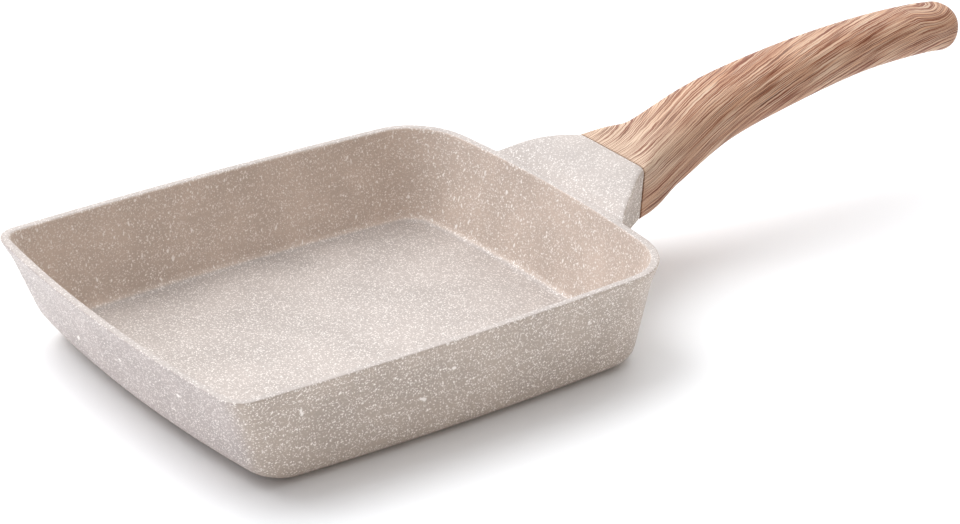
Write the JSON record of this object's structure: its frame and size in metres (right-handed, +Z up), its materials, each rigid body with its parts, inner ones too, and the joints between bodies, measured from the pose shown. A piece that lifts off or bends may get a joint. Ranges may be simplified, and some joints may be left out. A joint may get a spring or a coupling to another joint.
{
  "type": "rectangular frying pan",
  "caption": "Rectangular cast frying pan with bowed sides, a sloped front wall, a stone-look coating, a cast lug and a curved wood-look handle held by one screw.",
  "frame": {"origin": "on the resting plane, under the middle of the rim", "axes": "+Z up, +Y from the middle of the rim towards the handle, +X to the right when looking along +Y"},
  "size_m": [0.1504, 0.4026, 0.0736],
  "materials": {
    "coated_aluminium": "satin stone-look non-stick coating with pale flecks",
    "stainless_plate": "satin magnetic stainless steel",
    "wood_look_phenolic": "satin moulded phenolic with a printed wood grain",
    "plated_steel": "zinc plated"
  },
  "bodies": {
    "root": {"pan_body": "coated_aluminium", "induction_plate": "stainless_plate", "handle": "wood_look_phenolic", "handle_screw": "plated_steel", "spring_washer": "plated_steel", "flat_washer": "plated_steel", "threaded_insert": "plated_steel"}
  },
  "joints": []
}
